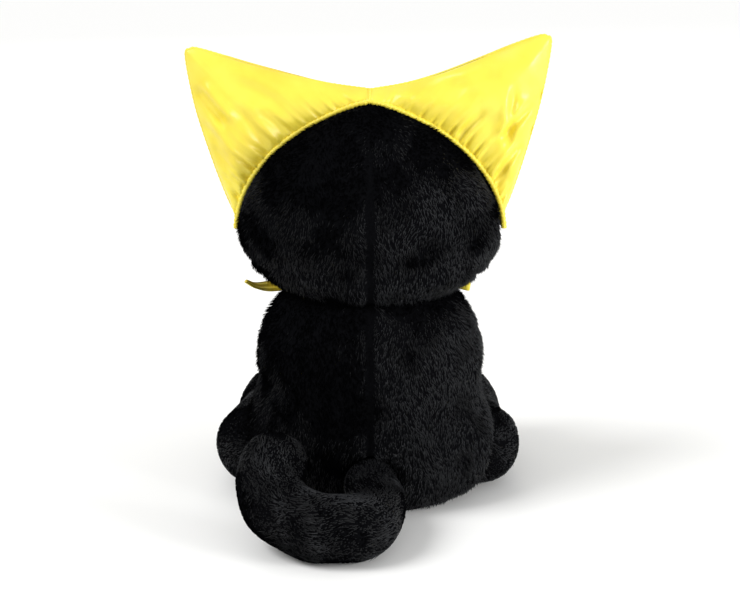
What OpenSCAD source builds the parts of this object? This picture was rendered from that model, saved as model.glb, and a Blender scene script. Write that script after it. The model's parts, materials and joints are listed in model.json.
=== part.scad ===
// Seated plush cat in a tied satin hood with two pointed ears.
// Millimetres. +Z is up, the cat faces -Y, and the origin is the middle of its footprint on the floor.

/* [Body] */
// Height of the ball that the head turns on, above the floor
neck_ball_z = 75; // [72:1:78]
// Radius of the body's rounded shoulders about that ball centre
shoulder_r = 71.5; // [68:0.5:73]
// Half width of the hips
hip_half_w = 78; // [74:1:80]
// Half depth of the body at the hips
hip_half_d = 60; // [56:1:64]

/* [Head] */
// Half width of the head at the cheeks
cheek_half_w = 78; // [74:1:82]
// Height of the cheeks above the floor
cheek_z = 162; // [158:1:166]
// Height of the crown above the floor
crown_z = 238; // [232:1:242]
// Half depth of the head at the cheeks
head_half_d = 61; // [58:1:64]

/* [Limbs] */
// Radius of a leg at the hip
leg_r = 24; // [22:0.5:24]
// Length of a leg from its hip to the sole
leg_len = 88; // [75:1:92]
// Radius of an arm at the shoulder
arm_r = 14; // [12:0.5:15]
// Length of an arm from its shoulder to the middle of the paw
arm_len = 52; // [40:1:56]
// Radius of the tail
tail_r = 19; // [16:0.5:19.5]

/* [Hood] */
// Distance of each ear tip from the middle
ear_tip_x = 106; // [98:1:108]
// Height of the ear tips above the floor
ear_tip_z = 270; // [262:1:274]
// Height of the notch between the ears
notch_z = 246; // [245:1:248]

/* [Fabric] */
// Thickness of the plush fabric with its pile pressed flat
plush_t = 2.4; // [2:0.1:3]
// Thickness of the satin with its lining
satin_t = 1.2; // [0.8:0.1:1.6]

/* [Hidden] */

gap = 0.3;             // air left between a skin and what it holds
clear = 0.8;           // air left between two bodies that move on each other
seg = 40;              // points round the body and head
seg_limb = 20;         // points round a limb
plush = "#101114";
satin = "#f6e34a";
wadding = "#e9e9e4";
gloss = "#0a0a0a";

// ---- small vector helpers ----
function unit(v) = v / norm(v);
function flip_x(p) = [-p[0], p[1], p[2]];
function wave(a, n) = sign(cos(a)) * pow(abs(cos(a)), n);

// ---- generic closed meshes from grids of points ----
function flat(grid) = [for (row = grid) each row];

// Faces of a grid of rows x cols points that start at index k; wrap joins the last column to the first
function sheet_faces(rows, cols, k, wrap, back) = [
    for (i = [0 : rows - 2], j = [0 : cols - (wrap ? 1 : 2)])
        let (a = k + i * cols + j, b = k + i * cols + (j + 1) % cols, c = a + cols, d = b + cols)
        each back ? [[a, b, d], [a, d, c]] : [[a, d, b], [a, c, d]]
];

// Faces that join two equal strips of point indices
function strip_faces(p, q, back) = [
    for (j = [0 : len(p) - 2])
        each back ? [[p[j], q[j + 1], p[j + 1]], [p[j], q[j], q[j + 1]]]
                  : [[p[j], p[j + 1], q[j + 1]], [p[j], q[j + 1], q[j]]]
];

// A thick curved plate between an outer and an inner grid
module plate(outer, inner) {
    rows = len(outer);
    cols = len(outer[0]);
    k = rows * cols;
    first = [for (j = [0 : cols - 1]) j];
    last = [for (j = [0 : cols - 1]) (rows - 1) * cols + j];
    west = [for (i = [0 : rows - 1]) i * cols];
    east = [for (i = [0 : rows - 1]) i * cols + cols - 1];
    polyhedron(concat(flat(outer), flat(inner)), concat(
        sheet_faces(rows, cols, 0, false, false),
        sheet_faces(rows, cols, k, false, true),
        strip_faces(first, [for (a = first) a + k], false),
        strip_faces(last, [for (a = last) a + k], true),
        strip_faces(west, [for (a = west) a + k], true),
        strip_faces(east, [for (a = east) a + k], false)), convexity = 6);
}

// A thick-walled tube between an outer and an inner grid of rings, open at both ends
module tube(outer, inner) {
    rows = len(outer);
    cols = len(outer[0]);
    k = rows * cols;
    first = [for (j = [0 : cols]) j % cols];
    last = [for (j = [0 : cols]) (rows - 1) * cols + j % cols];
    polyhedron(concat(flat(outer), flat(inner)), concat(
        sheet_faces(rows, cols, 0, true, false),
        sheet_faces(rows, cols, k, true, true),
        strip_faces(first, [for (a = first) a + k], false),
        strip_faces(last, [for (a = last) a + k], true)), convexity = 6);
}

// A solid with a point at each end
module pod(rings, start, end) {
    rows = len(rings);
    cols = len(rings[0]);
    k = rows * cols;
    polyhedron(concat(flat(rings), [start, end]), concat(
        sheet_faces(rows, cols, 0, true, false),
        [for (j = [0 : cols - 1]) [k, j, (j + 1) % cols]],
        [for (j = [0 : cols - 1]) [k + 1, k - cols + (j + 1) % cols, k - cols + j]]), convexity = 6);
}

// A thick-walled sock: open at its first ring, closed by a point at its far end
module sock(outer, inner, tip_out, tip_in) {
    rows = len(outer);
    cols = len(outer[0]);
    k = rows * cols;
    first = [for (j = [0 : cols]) j % cols];
    polyhedron(concat(flat(outer), flat(inner), [tip_out, tip_in]), concat(
        sheet_faces(rows, cols, 0, true, false),
        sheet_faces(rows, cols, k, true, true),
        strip_faces(first, [for (a = first) a + k], false),
        [for (j = [0 : cols - 1]) [2 * k, k - cols + (j + 1) % cols, k - cols + j]],
        [for (j = [0 : cols - 1]) [2 * k + 1, 2 * k - cols + j, 2 * k - cols + (j + 1) % cols]]),
        convexity = 6);
}

// ---- limbs: a centre line with a radius, and a round cap at each end ----
// A station is [place, direction, radius]
function cap_start(p, d, r, angles) = [for (a = angles) [p - d * r * cos(a), d, r * sin(a)]];
function cap_end(p, d, r, angles) = [for (a = angles) [p + d * r * sin(a), d, r * cos(a)]];
// and a fourth value, where there is one, is the radius upward of a flattened section
function ring_at(s, n) =
    let (side = unit(cross(s[1], [0, 0, 1])), up = cross(side, s[1]), tall = len(s) > 3 ? s[3] : s[2])
    [for (j = [0 : n - 1]) s[0] + s[2] * cos(360 * j / n) * side + tall * sin(360 * j / n) * up];
function rings_of(stations) = [for (s = stations) ring_at(s, seg_limb)];
function thinner(stations, t) = [for (s = stations) [s[0], s[1], max(0.6, s[2] - t)]];

// Leg: a haunch at the hip, then forward and a little inward
hip = [65.5, -9, leg_r + 0.6];
leg_out = -4;                                    // degrees outward from straight ahead
leg_dir = [sin(leg_out), -cos(leg_out), 0];
function leg_radius(s) = leg_r - 2.5 * sin(180 * min(1, s * 1.25)) + 0.4 * s;
function leg_stations(t) = concat(
    cap_start(hip, leg_dir, leg_r - t, [10, 32, 60]),
    [for (s = [0 : 0.125 : 0.875]) [hip + leg_dir * leg_len * s, leg_dir, leg_radius(s) - t]],
    [for (e = [[0.95, 0.8], [1, 3.2]]) [hip + leg_dir * leg_len * e[0], leg_dir, leg_radius(1) - e[1] - t]]);

// Arm: from the shoulder forward over the legs
shoulder = [49, -42, 88];
arm_dir = unit([-0.12, -0.97, -0.17]);
function arm_radius(s) = arm_r + 1.6 * sin(180 * max(0, s - 0.45) / 1.1);
function arm_stations(t) = concat(
    cap_start(shoulder, arm_dir, arm_r - t, [30, 60]),
    [for (s = [0 : 0.2 : 1]) [shoulder + arm_dir * arm_len * s, arm_dir, arm_radius(s) - t]],
    cap_end(shoulder + arm_dir * arm_len, arm_dir, arm_radius(1) - t, [30, 55, 75]));

// Tail: out of the back, round to the left along the floor, and up beside the haunch
tail_root = [-1, 62, tail_r + 4];
tail_thin = 3;                                   // how much thinner the tail is at its root
tail_line = [tail_root, [-4, 92, tail_r - 0.5], [8, 117, tail_r + 0.4], [34, 117, tail_r + 1],
             [55, 97, tail_r + 9], [55, 79, tail_r + 23]];
function tail_radius(i) = tail_r - tail_thin * (1 - smooth(2, 8, i));
// Bezier curve through the control line
function bezier(p, s) = len(p) == 1 ? p[0]
    : bezier([for (i = [0 : len(p) - 2]) p[i] * (1 - s) + p[i + 1] * s], s);
// A smooth curve through the points of a line (each stretch leaves a point along its neighbours' chord)
function through(p, k, s) =
    let (n = len(p) - 1, a = p[max(0, k - 1)], b = p[k], c = p[k + 1], d = p[min(n, k + 2)])
    bezier([b, b + (c - a) / 6, c - (d - b) / 6, c], s);
tail_steps = [for (k = [0 : len(tail_line) - 2], s = [0, 0.34, 0.67]) [k, s]];
tail_centres = concat([for (q = tail_steps) through(tail_line, q[0], q[1])], [tail_line[len(tail_line) - 1]]);
function tail_dir(i) =
    let (n = len(tail_centres) - 1) unit(tail_centres[min(n, i + 1)] - tail_centres[max(0, i - 1)]);
function tail_stations(t) =
    let (n = len(tail_centres) - 1)
    concat(
        cap_start(tail_centres[0], tail_dir(0), tail_radius(0) - t, [30, 60]),
        [for (i = [0 : n]) [tail_centres[i], tail_dir(i), tail_radius(i) - t]],
        cap_end(tail_centres[n], tail_dir(n), tail_r - t, [30, 55, 75]));

// ---- body: level rings whose radius stays out of the hollows for the limbs' roots ----
// Each hollow is [start, end, radius] of a round-ended channel
leg_in = 2;                                      // degrees that a leg may swing inward
hollow_extra = 3.4;                              // how much wider a hollow is than the limb in it
function leg_heading(a) = [sin(a), -cos(a), 0];
leg_hollows = [for (a = [leg_out - leg_in - 1, leg_out, leg_out + 20])
    [hip, hip + leg_heading(a) * leg_len, leg_r + hollow_extra]];
arm_hollows = [for (z = [-0.6, -0.17, 0.3])
    [shoulder, shoulder + unit([arm_dir[0], arm_dir[1], z]) * arm_len, arm_r + hollow_extra]];
right_and_left = concat(leg_hollows, arm_hollows);
hollows = concat(right_and_left, [for (h = right_and_left) [flip_x(h[0]), flip_x(h[1]), h[2]]],
    [[tail_root, tail_root + [-6, 30, -4], tail_radius(0) + hollow_extra]]);
function near(p, h) =
    let (ab = h[1] - h[0], s = max(0, min(1, (p - h[0]) * ab / (ab * ab))))
    norm(p - h[0] - ab * s) < h[2];
function blocked(p) = len([for (h = hollows) if (near(p, h)) 1]) > 0;
step_out = 1.5;                                  // how finely a ray is followed outward
function free_reach(p, d, r, most) =
    r + step_out >= most ? most
    : blocked(p + d * (r + step_out)) ? r
    : free_reach(p, d, r + step_out, most);

// Half width and half depth of the body at a height: dome shoulders, then waist, hips and base
waist_z = 70;
waist_half_w = 67.5;
hip_z = 34;
chest_z = 106;
function dome(z) = sqrt(max(0, pow(shoulder_r, 2) - pow(z - neck_ball_z, 2)));
function smooth(a, b, x) = let (s = max(0, min(1, (x - a) / (b - a)))) s * s * (3 - 2 * s);
function mix(a, b, s) = a * (1 - s) + b * s;
function body_w(z) = z > waist_z ? min(dome(z), waist_half_w)
    : z > hip_z ? mix(hip_half_w, waist_half_w, smooth(hip_z, waist_z, z))
    : hip_half_w - 22 * pow(1 - max(0, z) / hip_z, 2.2);
function body_d(z) = z > chest_z ? dome(z)
    : z > hip_z ? mix(hip_half_d, dome(chest_z) - 1, smooth(hip_z, chest_z, z))
    : hip_half_d - 13 * pow(1 - max(0, z) / hip_z, 2.2);
neck_z = neck_ball_z + shoulder_r * cos(44);     // where the head's edge sits on the shoulders
body_levels = [0, 3, 8, 16, 25, hip_z, 44, 55, 66, 78, 90, 100, 108, 116, neck_z];
function body_point(a, z, t) =
    let (w = body_w(z) - t, d = body_d(z) - t, dir = unit([cos(a) * w, sin(a) * d, 0]),
         reach = norm([cos(a) * w, sin(a) * d]))
    [0, 0, z] + dir * min(reach, free_reach([0, 0, z], dir, 20, reach + t) - t);
function body_grid(a0, a1, t, levels) = [
    for (z = levels) [for (j = [0 : round(seg * (a1 - a0) / 360)]) body_point(a0 + 360 * j / seg, z, t)]
];
base_t = plush_t;
skin_levels = [for (z = body_levels) max(z, base_t)];
module body_panel(a0, a1) {
    color(plush) plate(body_grid(a0, a1, 0, skin_levels), body_grid(a0, a1, plush_t, skin_levels));
}
module body_back_left() { body_panel(0, 90); }
module body_back_right() { body_panel(90, 180); }
module body_belly_right() { body_panel(180, 270); }
module body_belly_left() { body_panel(270, 360); }

// Flat oval that the cat sits on
module body_base() {
    color(plush) linear_extrude(base_t)
        polygon([for (j = [0 : seg - 1]) let (p = body_point(360 * j / seg, 0, 0.2)) [p[0], p[1]]]);
}

// Round pouch of plastic beans that keeps the cat upright
bean_r = 27;
bean_h = 30;
bean_y = 4;
module bean_pouch() {
    color("#c9bfa6") translate([0, bean_y, base_t + gap]) rotate_extrude($fn = 48)
        hull() {
            square([bean_r - 9, bean_h]);
            translate([bean_r - 9, bean_h / 2]) scale([9 / bean_h * 2, 1]) circle(d = bean_h, $fn = 32);
        }
}

stuffing_levels = [for (z = body_levels) max(z, base_t + gap)];
module body_stuffing() {
    inner = plush_t + gap;
    rings = [for (z = stuffing_levels) [for (j = [0 : seg - 1]) body_point(360 * j / seg, z, inner)]];
    domed = [for (a = [32, 20, 9]) let (r = shoulder_r - 0.2)
        [for (j = [0 : seg - 1])
            [cos(360 * j / seg) * r * sin(a), sin(360 * j / seg) * r * sin(a), neck_ball_z + r * cos(a)]]];
    color(wadding) difference() {
        pod(concat(rings, domed), [0, 0, base_t + gap], [0, 0, neck_ball_z + shoulder_r - 0.2]);
        translate([0, bean_y, 0]) cylinder(r = bean_r + 2, h = base_t + bean_h + 2 * gap, $fn = 48);
    }
}

// Dished round gusset that joins the neck to the head, on the shoulders' own centre
gusset_r = shoulder_r + clear;
gusset_t = 2;
function dish(r, a0, a1) = [for (a = [a0 : (a1 - a0) / 4 : a1])
    [for (j = [0 : seg - 1]) [cos(360 * j / seg) * r * sin(a), sin(360 * j / seg) * r * sin(a),
        neck_ball_z + r * cos(a)]]];
module neck_gusset() {
    color(plush) tube(dish(gusset_r + gusset_t, 38, 5), dish(gusset_r, 38, 5));
}

// ---- head ----
rim_r = gusset_r + gusset_t + clear;             // the head's underside, on the same centre
rim_a = 43;                                      // how far round that ball its edge reaches
rim_z = neck_ball_z + rim_r * cos(rim_a);
rim_w = rim_r * sin(rim_a);
head_levels = [rim_z, 136, 143, 151, cheek_z, 172, 181, 190, 199, 207, 215, 222, 228, 233, 236.4];
// Half width: full cheeks below, straight sloping sides above, a round crown
function head_w(z) = z < cheek_z
    ? mix(rim_w, cheek_half_w, pow(1 - pow((cheek_z - z) / (cheek_z - rim_z), 1.9), 0.75))
    : cheek_half_w * pow(1 - pow((z - cheek_z) / (crown_z - cheek_z), 2.05), 0.68);
function head_d(z) = z < cheek_z
    ? mix(rim_w, head_half_d, pow(1 - pow((cheek_z - z) / (cheek_z - rim_z), 2), 0.7))
    : head_half_d * sqrt(1 - pow((z - cheek_z) / (crown_z + 0.5 - cheek_z), 2));
// Points of the head t inside its outline; its lowest ring stays on the neck ball's centre sphere
function head_point(a, z, t) =
    let (slope = z > 225 ? 1.7 : 1, w = max(1, head_w(z) - t * slope), d = max(1, head_d(z) - t * slope))
    [w * cos(a), d * sin(a), z > rim_z ? z : neck_ball_z + sqrt(rim_r * rim_r - w * w)];
function head_grid(a0, a1, t) = [
    for (z = head_levels) [for (j = [0 : round(seg * (a1 - a0) / 360)]) head_point(a0 + 360 * j / seg, z, t)]
];
module head_panel(a0, a1) {
    color(plush) plate(head_grid(a0, a1, 0), head_grid(a0, a1, plush_t));
}
module head_back_left() { head_panel(0, 90); }
module head_back_right() { head_panel(90, 180); }

eye_x = 25;
eye_z = 176;
nose_z = 164;
shank_r = 2;
washer_r = 7;
function face_y(x, z, t) = -(head_d(z) - t) * sqrt(1 - pow(x / (head_w(z) - t), 2));
eye_y = face_y(eye_x, eye_z, 0);
nose_y = face_y(0, nose_z, 0);
// A round hole of radius r from in front of the face to behind the washers
module shank_hole(x, y, z, r, deep) {
    translate([x, y - 12, z]) rotate([-90, 0, 0]) cylinder(r = r, h = 12 + deep, $fn = 24);
}
shank_deep = 16;
module head_face() {
    color(plush) difference() {
        head_panel(180, 360);
        for (x = [-eye_x, eye_x]) shank_hole(x, eye_y, eye_z, shank_r + 0.3, shank_deep);
        shank_hole(0, nose_y, nose_z, shank_r + 0.3, shank_deep);
    }
}
module head_stuffing() {
    inner = plush_t + gap;
    rings = [for (z = head_levels) [for (j = [0 : seg - 1]) head_point(360 * j / seg, z, inner)]];
    r = rim_r;
    hollow = [for (a = [10, 20, 30, 39]) [for (j = [0 : seg - 1])
        [cos(360 * j / seg) * r * sin(a), sin(360 * j / seg) * r * sin(a), neck_ball_z + r * cos(a)]]];
    color(wadding) difference() {
        pod(concat(hollow, rings), [0, 0, neck_ball_z + r], [0, 0, head_levels[len(head_levels) - 1] + 0.4]);
        for (x = [-eye_x, eye_x]) shank_hole(x, eye_y, eye_z, washer_r + 1, shank_deep + 1);
        shank_hole(0, nose_y, nose_z, washer_r + 1, shank_deep + 1);
    }
}

// Safety eye or nose: a domed front on a straight shank that goes through the face
module button(x, y, z, r, flat_by) {
    translate([x, y - 1.6, z]) rotate([90, 0, 0]) union() {
        scale([1, flat_by, 1]) rotate_extrude($fn = 48)
            intersection() {
                translate([0, -r * 0.35]) circle(r = r, $fn = 64);
                square([r + 1, r]);
            }
        translate([0, 0, -shank_deep + 2]) cylinder(r = shank_r, h = shank_deep - 2 + 0.5, $fn = 24);
    }
}
module washer(x, y, z) {
    translate([x, y + 8.4, z]) rotate([-90, 0, 0]) difference() {
        cylinder(r = washer_r, h = 1.6, $fn = 40);
        translate([0, 0, -1]) cylinder(r = shank_r + 0.1, h = 4, $fn = 24);
    }
}
eye_r = 8;
nose_r = 6;
module eye_left() { color("#2f7d4a") button(eye_x, eye_y, eye_z, eye_r, 1); }
module eye_right() { color("#2f7d4a") button(-eye_x, eye_y, eye_z, eye_r, 1); }
module eye_washer_left() { color("white") washer(eye_x, eye_y, eye_z); }
module eye_washer_right() { color("white") washer(-eye_x, eye_y, eye_z); }
module nose() { color("#8d5a62") button(0, nose_y, nose_z, nose_r, 1); }
module nose_washer() { color("white") washer(0, nose_y, nose_z); }

// Two curved rows of thread under the nose
mouth_z = 150;
module mouth_stitching() {
    color("#d8d8d8") for (side = [-1, 1]) {
        points = [for (s = [0 : 0.2 : 1]) let (x = side * 12 * s, z = mouth_z - 4 * sin(180 * s) + 2 * s)
            [[x + side * 0.8, face_y(x, z, 0) - 1.2, z], [side, 0, 0], 0.7]];
        pod([for (p = points) ring_at(p, 8)], points[0][0], points[len(points) - 1][0]);
    }
}

// ---- limbs as solids ----
module limb(stations_out, stations_in, skip) {
    outer = rings_of([for (i = [skip : len(stations_out) - 1]) stations_out[i]]);
    inner = rings_of([for (i = [skip : len(stations_in) - 1]) stations_in[i]]);
    end_out = stations_out[len(stations_out) - 1];
    end_in = stations_in[len(stations_in) - 1];
    color(plush) sock(outer, inner, end_out[0] + end_out[1] * end_out[2] * 0.2,
        end_in[0] + end_in[1] * end_in[2] * 0.2);
}
// The filling starts where its skin does, so that none of it stands out of the open root
module limb_stuffing(stations) {
    kept = [for (i = [1 : len(stations) - 1]) stations[i]];
    first = kept[0];
    last = kept[len(kept) - 1];
    color(wadding) pod(rings_of(kept), first[0] + first[1] * 0.5, last[0] + last[1] * last[2] * 0.2);
}
module arm_left_skin() { limb(arm_stations(0), arm_stations(plush_t), 1); }
module arm_left_stuffing() { limb_stuffing(arm_stations(plush_t + gap)); }
module arm_right_skin() { mirror([1, 0, 0]) arm_left_skin(); }
module arm_right_stuffing() { mirror([1, 0, 0]) arm_left_stuffing(); }

module leg_left_skin() {
    outer = leg_stations(0);
    inner = leg_stations(plush_t);
    color(plush) tube(rings_of(outer), rings_of(inner));
}
sole_t = 2.4;
module leg_left_sole() {
    end = leg_stations(0)[len(leg_stations(0)) - 1];
    color(plush) translate(end[0] - leg_dir * sole_t) rotate([90, 0, leg_out])
        cylinder(r = end[2] - plush_t - 0.5, h = sole_t, $fn = 48);
}
module leg_left_stuffing() {
    all = leg_stations(plush_t + gap);
    count = len(all) - 1;
    end = [all[count][0] - leg_dir * (sole_t + gap), leg_dir, all[count][2]];
    stations = concat([for (i = [0 : count - 1]) all[i]], [end]);
    color(wadding) pod(rings_of(stations), all[0][0] - leg_dir * 1.5, end[0]);
}
module leg_right_skin() { mirror([1, 0, 0]) leg_left_skin(); }
module leg_right_sole() { mirror([1, 0, 0]) leg_left_sole(); }
module leg_right_stuffing() { mirror([1, 0, 0]) leg_left_stuffing(); }

module tail_skin() { limb(tail_stations(0), tail_stations(plush_t), 1); }
module tail_stuffing() { limb_stuffing(tail_stations(plush_t + gap)); }

// ---- hood ----
// s runs from the notch over the ear tip (at tip_s) and down the outer edge; v runs from the head outward
tip_s = 0.5;
hood_end_z = 168;
hood_steps = [0, 0.1, 0.2, 0.3, 0.4, 0.46, 0.5, 0.54, 0.6, 0.7, 0.8, 0.9, 1];
head_gap = 0.9;                                  // air between the satin and the plush
function outline(s) = s < tip_s
    ? let (k = s / tip_s) [ear_tip_x * k, notch_z + (ear_tip_z - notch_z) * pow(k, 1.35)]
    : let (k = (s - tip_s) / (1 - tip_s))
        [mix(ear_tip_x, 80, pow(k, 1.1)), mix(ear_tip_z, hood_end_z, pow(k, 0.95))];
function arc_z(s) = s < tip_s ? mix(crown_z, 214, pow(s / tip_s, 1.3))
    : mix(214, hood_end_z - 4, (s - tip_s) / (1 - tip_s));
function head_arc(s, y) =
    let (z = min(arc_z(s), 236.4), d = head_d(z), side = sqrt(max(0, 1 - pow(y / (d + 0.01), 2))))
    [(head_w(z) + head_gap) * side * smooth(-0.001, 0.12, s), y, z + (s < 0.12 ? 3.2 - 20 * s : 0)];
back_y = 6;                                      // where the hood's back opening sits on the head
seam_y = -3;                                     // where the front and back panels are sewn
function hood_back_point(s, v, t) =
    let (a = head_arc(s, back_y), o = outline(s), puff = 5 * sin(180 * v) * (0.35 + 0.65 * sin(180 * s)))
    [mix(a[0], o[0], v), mix(back_y, seam_y + 1.6, v) + puff - t, mix(a[2], o[1], v)];
function hood_back_grid(t) = [for (s = hood_steps) [for (v = [0 : 0.2 : 1]) hood_back_point(s, v, t)]];

// The face opening lies on the front of the head, and the front panel runs from it up to the seam
face_top_z = 207;
function face_edge(s) =
    let (a = mix(0, 128, s), z = mix(face_top_z, 150, (1 - cos(a)) / 1.62), x = 58 * sin(min(a, 128)),
         w = head_w(z) + head_gap, d = head_d(z) + head_gap, c = min(0.97, x / w))
    [w * c, -d * sqrt(1 - c * c), z];
function lift(p, t) =
    let (w = head_w(min(p[2], 236.4)), d = head_d(min(p[2], 236.4)),
         q = norm([p[0] / (w + head_gap + t), p[1] / (d + head_gap + t)]))
    q < 1 && p[2] < 237 ? [p[0] / q, p[1] / q, p[2]] : p;
function hood_front_point(s, v, t) =
    let (a = face_edge(s), o = outline(s), puff = 9 * sin(180 * v) * (0.35 + 0.65 * sin(180 * s)),
         p = [mix(a[0], o[0], v), mix(a[1], seam_y - 1.6, v) - puff, mix(a[2], o[1], v)])
    lift([p[0], p[1] - t, p[2]], t);
function hood_front_grid(t) = [for (s = hood_steps) [for (v = [0 : 0.2 : 1]) hood_front_point(s, v, t)]];
module hood_back_left() { color(satin) plate(hood_back_grid(0), hood_back_grid(satin_t)); }
module hood_front_left() { color(satin) plate(hood_front_grid(0), hood_front_grid(satin_t)); }
module hood_back_right() { mirror([1, 0, 0]) hood_back_left(); }
module hood_front_right() { mirror([1, 0, 0]) hood_front_left(); }

// Light wadding that fills each ear of the hood
wadding_from = 0.52;
wadding_steps = [for (s = hood_steps) if (s > 0.05 && s < 0.95) s];
module hood_wadding_left() {
    across = [wadding_from, 0.64, 0.76, 0.88];
    back = [for (s = wadding_steps) [for (v = across) hood_back_point(s, v, satin_t + gap)]];
    front = [for (s = wadding_steps) [for (v = across) hood_front_point(s, v, -gap)]];
    color(wadding) plate(back, front);
}
module hood_wadding_right() { mirror([1, 0, 0]) hood_wadding_left(); }

// A round binding along a line of points
module binding(line, r) {
    n = len(line) - 1;
    stations = [for (i = [0 : n])
        [line[i], unit(line[min(n, i + 1)] - line[max(0, i - 1)] + [0.001, 0, 0]), r]];
    color(satin) pod([for (s = stations) ring_across(s, 8)], line[0], line[n]);
}
// Section whose first side lies along Y, for lines that run round the head's outline
function ring_across(s, n) =
    let (side = unit(cross(s[1], [0, 1, 0])), up = cross(side, s[1]))
    [for (j = [0 : n - 1]) s[0] + s[2] * (cos(360 * j / n) * side + sin(360 * j / n) * up)];
binding_r = 1.6;
binding_steps = [for (s = [0.06 : 0.094 : 1]) s];
function both_sides(half) = concat(
    [for (i = [len(half) - 1 : -1 : 0]) flip_x(half[i])], half);
function back_binding_point(s) =
    let (a = head_arc(s, back_y), out = unit([a[0], 0, a[2] - cheek_z]))
    [a[0], back_y + binding_r + 1, a[2]] + out * (binding_r + 0.6);
module hood_binding_back() { binding(both_sides([for (s = binding_steps) back_binding_point(s)]), binding_r); }
face_mid_z = 168;
function face_binding_point(s) =
    let (a = face_edge(s), inward = unit([a[0], 0, a[2] - face_mid_z]) * (binding_r + 0.9),
         x = a[0] - inward[0], z = a[2] - inward[2],
         y = -(head_d(z) + binding_r + 0.8) * sqrt(1 - pow(x / (head_w(z) + binding_r + 0.8), 2)))
    [x, y, z];
module hood_binding_face() { binding(both_sides([for (s = binding_steps) face_binding_point(s)]), binding_r); }

// Ties: flat satin ribbons from the hood's front corners, along the jaw to the bow under the chin
ribbon_w = 9;
tie_gap = 0.6;
tie_steps = [0 : 0.2 : 1];
function tie_point(s, e, off) =
    head_point(mix(-48, -83, s), mix(145, 136, s) + e * ribbon_w / 2, -off);
module hood_tie_left() {
    outer = [for (s = tie_steps) [for (e = [-1, 0, 1]) tie_point(s, e, tie_gap + satin_t)]];
    inner = [for (s = tie_steps) [for (e = [-1, 0, 1]) tie_point(s, e, tie_gap)]];
    color(satin) plate(outer, inner);
}
module hood_tie_right() { mirror([1, 0, 0]) hood_tie_left(); }

// Bow under the chin: knot, two loops and two loose ends, each a flattened tube along its own line
module ribbon_piece(line, wide, tall) {
    n = len(line) - 1;
    stations = [for (i = [0 : n])
        [line[i], unit(line[min(n, i + 1)] - line[max(0, i - 1)]), wide[i], tall[i]]];
    color(satin) pod([for (s = stations) ring_at(s, 12)], line[0], line[n]);
}
knot_at = [0, -66, 131];
module bow_knot() {
    ribbon_piece([for (x = [-6, -4, 0, 4, 6]) knot_at + [x, 0, 0]], [2.5, 4, 4.6, 4, 2.5], [3.5, 5.5, 6.5, 5.5, 3.5]);
}
module bow_loop_left() {
    ribbon_piece([[7, -66, 131], [18, -64, 129], [34, -59, 125], [47, -52, 121], [54, -46, 119]],
        [1.2, 3, 4, 3.6, 1.4], [2.5, 7, 9, 8, 4]);
}
module bow_loop_right() {
    ribbon_piece([[-7, -66, 131], [-18, -65, 128], [-36, -60, 123], [-52, -52, 119], [-61, -45, 118]],
        [1.2, 3, 4, 3.6, 1.4], [2.5, 7, 9, 8, 4]);
}
module bow_tail_left() {
    ribbon_piece([[6, -71.5, 128], [22, -71.5, 121], [42, -67, 115], [60, -54, 114], [74, -36, 119]],
        [0.6, 0.8, 0.8, 0.8, 0.6], [2.5, 4, 4.5, 4, 2.5]);
}
module bow_tail_right() {
    ribbon_piece([[-6, -71.5, 128], [-14, -72.5, 122], [-25, -71.5, 116], [-36, -68, 112]],
        [0.6, 0.8, 0.8, 0.6], [2.5, 4, 4.5, 2]);
}

body_back_left();
body_back_right();
body_belly_left();
body_belly_right();
body_base();
body_stuffing();
bean_pouch();
neck_gusset();
head_back_left();
head_back_right();
head_face();
head_stuffing();
eye_left();
eye_right();
eye_washer_left();
eye_washer_right();
nose();
nose_washer();
mouth_stitching();
arm_left_skin();
arm_left_stuffing();
arm_right_skin();
arm_right_stuffing();
leg_left_skin();
leg_left_sole();
leg_left_stuffing();
leg_right_skin();
leg_right_sole();
leg_right_stuffing();
tail_skin();
tail_stuffing();
hood_back_left();
hood_back_right();
hood_front_left();
hood_front_right();
hood_wadding_left();
hood_wadding_right();
hood_binding_back();
hood_binding_face();
hood_tie_left();
hood_tie_right();
bow_knot();
bow_loop_left();
bow_loop_right();
bow_tail_left();
bow_tail_right();
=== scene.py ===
"""Seated plush cat in a tied satin hood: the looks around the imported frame.

Lengths are millimetres in the frame of the CAD model, and become metres in make_mesh.
+Z is up and the cat faces -Y. "Left" is the cat's own left, +X.
"""
import json
import math

import bpy
import numpy as np
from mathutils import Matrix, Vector
from mathutils.bvhtree import BVHTree


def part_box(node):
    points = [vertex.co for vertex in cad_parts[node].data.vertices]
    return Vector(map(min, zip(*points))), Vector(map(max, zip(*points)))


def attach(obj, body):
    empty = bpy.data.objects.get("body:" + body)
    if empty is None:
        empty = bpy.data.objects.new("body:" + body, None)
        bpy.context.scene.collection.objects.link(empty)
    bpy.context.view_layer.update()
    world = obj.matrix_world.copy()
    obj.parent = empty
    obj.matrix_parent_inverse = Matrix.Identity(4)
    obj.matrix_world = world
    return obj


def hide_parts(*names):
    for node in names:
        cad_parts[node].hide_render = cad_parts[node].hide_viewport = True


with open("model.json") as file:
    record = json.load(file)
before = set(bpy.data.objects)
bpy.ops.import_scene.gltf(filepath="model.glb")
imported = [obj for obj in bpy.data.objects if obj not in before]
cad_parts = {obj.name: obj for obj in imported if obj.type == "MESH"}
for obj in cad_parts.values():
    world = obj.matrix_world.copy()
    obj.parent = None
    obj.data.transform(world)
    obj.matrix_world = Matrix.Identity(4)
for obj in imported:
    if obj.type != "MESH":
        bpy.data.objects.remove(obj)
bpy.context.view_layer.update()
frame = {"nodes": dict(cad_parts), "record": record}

MM = 0.001
DEEPEST = 1.2  # no seam or fold goes deeper, so that no stuffing shows

# -------- driving dimensions, from the frame


def node_box(name):
    low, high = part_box(name)
    return np.array(low) / MM, np.array(high) / MM


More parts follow.
